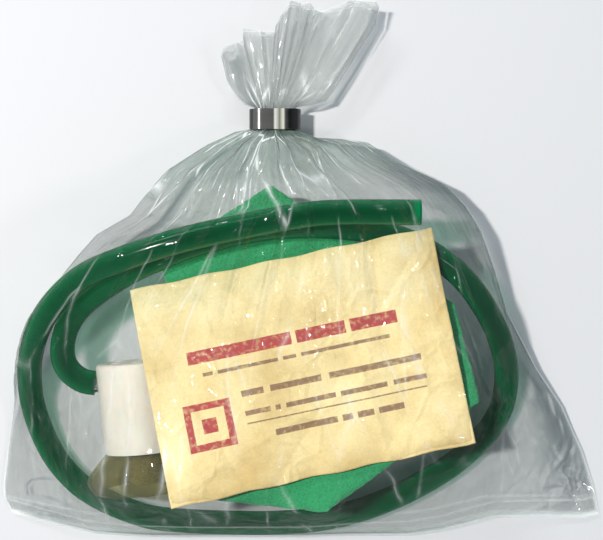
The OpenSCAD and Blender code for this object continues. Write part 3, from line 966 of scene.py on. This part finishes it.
def creases(v, u, plan, seed):
    """Sharp ridges and valleys that fan out from the neck, in mm of height."""
    random = np.random.default_rng(seed)
    z = np.zeros(u.shape)
    wide = row_widths(plan)
    for count, widths, sizes in FOLDS:
        for _ in range(count):
            centre = random.random()
            bend = random.normal(0, 0.06)
            start = max(0.0, random.normal(-0.02, 0.12))
            length = random.uniform(0.2, 0.85)
            width = random.uniform(*widths)
            size = random.uniform(*sizes) * random.choice([1, 1, -1])
            sway = 0.004 * np.sin(v * random.uniform(6, 18) + random.uniform(0, 6))
            off = (u - centre - bend * (v - start) - sway) * wide
            grow = np.clip((v - start) / 0.05, 0, 1) * np.clip((start + length - v) / (0.6 * length), 0, 1)
            spread = width * (0.25 + 0.9 * np.sqrt(np.clip(v, 0, 1)))
            z += size * grow * tent(off, spread) * np.clip(wide / 60, 0.25, 1)
    return z


def crumple(plan, seed, count, reach, size, over=ALL_OVER):
    """Short straight ridges and dents in any direction, in mm of height."""
    random = np.random.default_rng(seed)
    z = np.zeros(plan.shape[:2])
    for _ in range(count):
        dx = plan[..., 0] - random.uniform(*over[:2])
        dy = plan[..., 1] - random.uniform(*over[2:])
        angle = random.uniform(0, math.pi)
        half = random.uniform(0.4, 1.0) * reach
        width = random.uniform(0.5, 1.4)
        on = dx * math.cos(angle) + dy * math.sin(angle)
        off = -dx * math.sin(angle) + dy * math.cos(angle) + on**2 * random.normal(0, 0.01)
        z += random.uniform(0.3, 1) * size * random.choice([1, -1]) * tent(on, half) * tent(off, width)
    return z


def long_folds(v, u, plan):
    """Straight ridges from the neck, in mm of height."""
    wide = row_widths(plan)
    z = np.zeros(u.shape)
    for near, far, end, width, size in LONG_FOLDS:
        off = (u - near - (far - near) * v / end) * wide
        fade = np.clip((end - v) / 0.15, 0, 1) * np.clip(v / 0.04, 0, 1)
        z = np.maximum(z, size * fade * tent(off, width * (0.5 + v)))
    return z


# ---------------------------------------------------------------- bag: its two sheets

# The film lies this far, in mm, over the contents, and its creases dip at most the second number below that
OVER_CONTENTS = 0.7
CREASE_DIP = 0.3

# The folded neck: half its thickness and its folds' height, in mm, and how many folds it has
NECK_HALF = 1.4
NECK_FOLD = 0.9
NECK_FOLDS = 13

# The back sheet lies on this height in mm, stays this far under the contents, and takes every second
# row and column of the front sheet. Its sides turn up over the last stretch, and so does its neck.
BACK_Z = 0.3
UNDER_CONTENTS = 0.45
BACK_STEP = 2
TURNED_UP = 14
NECK_RISE = 0.16


def bag_grid():
    """The bag's plan from the neck to the bottom edge, with its shares across and down."""
    rows, columns = BAG_GRID
    down = np.linspace(0, 1, rows) ** ROW_SPREAD
    start = along([LEFT_EDGE[0], RIGHT_EDGE[0]], columns)
    plan = patch(LEFT_EDGE, RIGHT_EDGE, start, along(BOTTOM_EDGE, columns), down)
    u, v = np.meshgrid(np.linspace(0, 1, columns), down)
    return plan, u, v


def edge_heights(u, v):
    """Heights of the left, the right and the bottom edge."""
    bottom_z = 0.8 + 3.6 * np.clip(np.sin(math.pi * u[0]) * 1.6, 0, 1)
    return np.interp(v[:, 0], EDGE_AT, LEFT_Z), np.interp(v[:, 0], EDGE_AT, RIGHT_Z), bottom_z


def front_rim(u, v):
    """Where the front sheet's four edges are in its grid, and their heights."""
    rim = np.zeros(u.shape, bool)
    rim[:, [0, -1]] = True
    rim[[0, -1]] = True
    z = np.zeros(u.shape)
    z[:, 0], z[:, -1], z[-1] = edge_heights(u, v)
    z[0] = NECK[2] + NECK_HALF + NECK_FOLD * zigzag(u[0], np.random.default_rng(12), NECK_FOLDS)
    return rim, z


def front_heights(plan, u, v):
    """The front sheet: pulled tight over the contents, then creased."""
    rim, rim_z = front_rim(u, v)
    above = widen(height_map(True), np.maximum, 2)
    above = np.where(above > 0, above, 0.2)
    above = np.maximum(blur(above, 5), widen(blur(above, 2), np.minimum, 1))
    hold = sample(above, plan) + OVER_CONTENTS
    hold[0] = 0
    front = blur(tight_sheet(plan, rim, rim_z, hold), 8)
    inside = np.clip(np.minimum.reduce([u * 30, (1 - u) * 30, v * 12, (1 - v) * 30]), 0, 1)
    detail = creases(v, u, plan, 11) + crumple(plan, 5, 420, 9, 0.8)
    detail += crumple(plan, 6, 110, 8, 1.5, RIGHT_CORNER) + crumple(plan, 8, 60, 7, 1.3, LEFT_CORNER)
    slack = np.clip((front - hold) / 3, 0.1, 1)
    front = np.maximum(front + detail * inside * slack, hold - CREASE_DIP) + long_folds(v, u, plan) * inside
    front[rim] = rim_z[rim]
    return front


def back_heights(plan, u, v):
    """The back sheet: flat and crumpled under the contents, turned up at its sides and neck."""
    left_z, right_z, bottom_z = edge_heights(u, v)
    from_edge = np.minimum(u, 1 - u) * row_widths(plan)
    side_z = np.where(u < 0.5, left_z[:, None], right_z[:, None])
    back = BACK_Z + (side_z - BACK_Z) * np.clip(1 - from_edge / TURNED_UP, 0, 1) ** 2
    rise = np.clip(1 - v / NECK_RISE, 0, 1) ** 1.5
    back = np.maximum(back, (NECK[2] - NECK_HALF) * rise + np.sin(u * 2 * math.pi * 8) * rise)
    detail = creases(v, u, plan, 23) * 0.5 + crumple(plan, 9, 120, 9, 0.4)
    back = back + np.abs(detail) * np.clip(from_edge / 6, 0, 1) * np.clip((1 - v) * 30, 0, 1)
    roof = sample(widen(height_map(False), np.minimum, 1), plan) - UNDER_CONTENTS
    back = np.minimum(back, np.clip(roof, BACK_Z, 40))
    back[:, 0], back[:, -1], back[-1] = left_z, right_z, bottom_z
    back[-2] = np.minimum(back[-2], 0.35 * bottom_z + 0.3)
    return back


def make_bag():
    """The front and the back sheet, which meet along the sides and the bottom."""
    plan, u, v = bag_grid()
    front = grid_piece("bag_front", [on_plan(plan, front_heights(plan, u, v))], flip=True)
    dress(front, FILM, ["bag_front_film"])

    plan, u, v = [grid[::BACK_STEP, ::BACK_STEP] for grid in (plan, u, v)]
    back = grid_piece("bag_back", [on_plan(plan, back_heights(plan, u, v))])
    dress(back, FILM_BACK, ["bag_back_film"])


make_bag()

# ---------------------------------------------------------------- gathered mouth

WAIST_HALF = 7.0
WAIST_Y = 54.2
ROOT_Y = 47.5
MOUTH_LEFT = [(NECK[0] - WAIST_HALF, WAIST_Y), (-19, 55.3), (-21.5, 57.5), (-25, 63), (-27, 71.5)]
MOUTH_RIGHT = [
    (NECK[0] + WAIST_HALF, WAIST_Y), (3, 54.8), (8.5, 56.5), (12, 61.5), (16, 67.5), (20, 74), (25, 82),
    (26, 88),
]
MOUTH_RIM = [
    (-27, 71.5), (-25.5, 74), (-19.5, 76), (-19.5, 80.5), (-9, 79.5), (-7, 84.5), (-3, 89), (1, 89),
    (7, 86), (13, 88), (19, 90), (26, 88),
]
MOUTH_TOP = 90
MOUTH_GRID = (110, 420)

# The share of the rows that lie inside the band
IN_BAND = 0.15

# The layers of the mouth: height in mm over or under the neck's middle, and the seed of the folds.
# The top layer reaches the rim all the way, and the others are cut a little shorter in places.
MOUTH_LAYERS = [(1.6, 31), (0.0, 34), (-1.6, 37)]


def mouth_fan(rim, waist, high, opened):
    """The plan above the band: curved at its two sides, and straight columns in its middle."""
    u = np.linspace(0, 1, len(rim))
    by_side = np.clip(1 - np.minimum(u, 1 - u) * 3.5, 0, 1)[None, :, None] ** 2
    curved = patch(MOUTH_LEFT, MOUTH_RIGHT, waist, rim, opened[:, 0])
    return by_side * curved + (1 - by_side) * (waist + (rim - waist) * high)


def crossings(u, t, random):
    """Short slanting creases over the mouth."""
    z = np.zeros((len(t), len(u)))
    for _ in range(26):
        middle, height = random.random(), random.uniform(0.2, 1)
        lean = random.normal(0, 0.5)
        off = (u[None] - middle - lean * (t - height) * 0.3) * 40
        z += random.uniform(-1, 1) * tent(off, random.uniform(0.6, 1.8)) * tent(t - height, 0.3)
    return z


def make_mouth():
    """The gathered film in its layers, which fan out of the band."""
    rows, columns = MOUTH_GRID
    rim = along(MOUTH_RIM, columns)
    u = np.linspace(0, 1, columns)
    across = NECK[0] + WAIST_HALF * (2 * u - 1)
    root = np.stack([across, np.full(columns, ROOT_Y)], 1)
    waist = np.stack([across, np.full(columns, WAIST_Y)], 1)
    t = np.linspace(0, 1, rows)[:, None]
    low = np.clip(t / IN_BAND, 0, 1)[..., None]
    opened = np.clip((t - IN_BAND) / (1 - IN_BAND), 0, 1)
    fan = mouth_fan(rim, waist, opened[..., None], opened)
    started = np.clip(opened * 2, 0, 1)
    layers = []
    for lift, seed in MOUTH_LAYERS:
        random = np.random.default_rng(seed)
        cut = random.uniform(0.03, 0.09)
        short = 1 - cut * (lift < 1) * (1 + zigzag(u, random, 7))[:, None] / 2
        plan = root + (waist - root) * low + (fan - waist) * short
        broad = zigzag(u, random, 9)[None]
        narrow = zigzag(u, random, 13)[None]
        gather = zigzag(u, random, 70)[None]
        z = 4.2 * broad * opened**0.8 + 0.6 * narrow * started * (1 - 0.7 * opened)
        z = z + 0.8 * gather * np.clip(1 - opened / 0.35, 0, 1)
        z = z + 0.35 * crossings(u, t, random) * np.clip(opened * 3, 0, 1)
        z = NECK[2] + lift * (0.5 + 0.8 * opened) + z
        z = np.clip(z, NECK[2] - 2.6 - 4.6 * opened, NECK[2] + 2.6 + 8 * opened)
        plan[..., 0] += 0.5 * narrow * started * np.clip(np.minimum(u, 1 - u) * 12, 0, 1)
        plan[..., 1] = np.minimum(plan[..., 1], MOUTH_TOP)
        layers.append(on_plan(plan, z))
    piece = dress(grid_piece("bag_mouth_film", layers), FILM_MOUTH, ["bag_mouth"])
    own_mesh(piece)


make_mouth()

# ---------------------------------------------------------------- CAD nodes

for name, mat in {
    "neck_band": BAND,
    "head_cap": CAP,
    "cap_gasket": RUBBER,
    "inlet_elbow": CLEAR,
    "air_tube": CLEAR,
    "chamber": SMOKY,
    "chamber_screen": CAP,
    "stone_stem": CLEAR,
    "air_stone": STONE,
}.items():
    materials = nodes[name].data.materials
    materials.clear()
    materials.append(mat)

# ---------------------------------------------------------------- stage

FLOOR_HALF = 3.0
FLOOR_Z = -0.0002
FLOOR_GREY = (0.62, 0.622, 0.632, 1)

floor = new_mesh(
    "floor",
    [(x * FLOOR_HALF, y * FLOOR_HALF, FLOOR_Z) for x, y in ((-1, -1), (1, -1), (1, 1), (-1, 1))],
    [(0, 1, 2, 3)],
    smooth=False,
)
floor_mat, floor_nt, floor_out = material("floor")
floor_skin = node(floor_nt, "ShaderNodeBsdfPrincipled", {"Base Color": FLOOR_GREY, "Roughness": 0.6})
floor_nt.links.new(floor_skin.outputs[0], floor_out.inputs["Surface"])
floor.data.materials.append(floor_mat)

# Lamps that face the object: name, place and size in metres, watts and colour
LAMPS = [
    ("window", (-0.52, 0.15, 1.17), (0.04, 0.11), 15.5, (1.0, 0.985, 0.955)),
    ("strip", (-0.5, 0.95, 0.8), (0.6, 0.05), 4.5, (0.95, 0.97, 1.0)),
    ("side", (0.8, -0.35, 1.0), (0.03, 0.2), 2.0, (0.96, 0.98, 1.0)),
]

# The sky's colour from the horizon up to the zenith, which is dark so that it doesn't veil the film
DOME = [
    (0.0, (0.51, 0.58, 0.64)),
    (0.6, (0.47, 0.54, 0.61)),
    (0.82, (0.3, 0.33, 0.38)),
    (0.95, (0.08, 0.09, 0.1)),
]
DOME_STRENGTH = 0.75

for name, place, size, power, colour in LAMPS:
    lamp = bpy.data.lights.new(name, "AREA")
    lamp.shape = "RECTANGLE"
    lamp.size, lamp.size_y = size
    lamp.energy = power
    lamp.color = colour
    holder = bpy.data.objects.new(name, lamp)
    bpy.context.collection.objects.link(holder)
    holder.location = place
    holder.rotation_euler = (-Vector(place)).to_track_quat("-Z", "Y").to_euler()

world = bpy.data.worlds.new("world")
bpy.context.scene.world = world
world.use_nodes = True
sky_nt = world.node_tree
sky = sky_nt.nodes["Background"]
direction = node(sky_nt, "ShaderNodeTexCoord").outputs["Generated"]
upward = node(sky_nt, "ShaderNodeSeparateXYZ", {0: direction}).outputs[2]
sky_nt.links.new(ramp(sky_nt, upward, DOME), sky.inputs[0])
sky.inputs[1].default_value = DOME_STRENGTH

bpy.context.scene.view_settings.view_transform = "Standard"
bpy.context.scene.cycles.transparent_max_bounces = 20
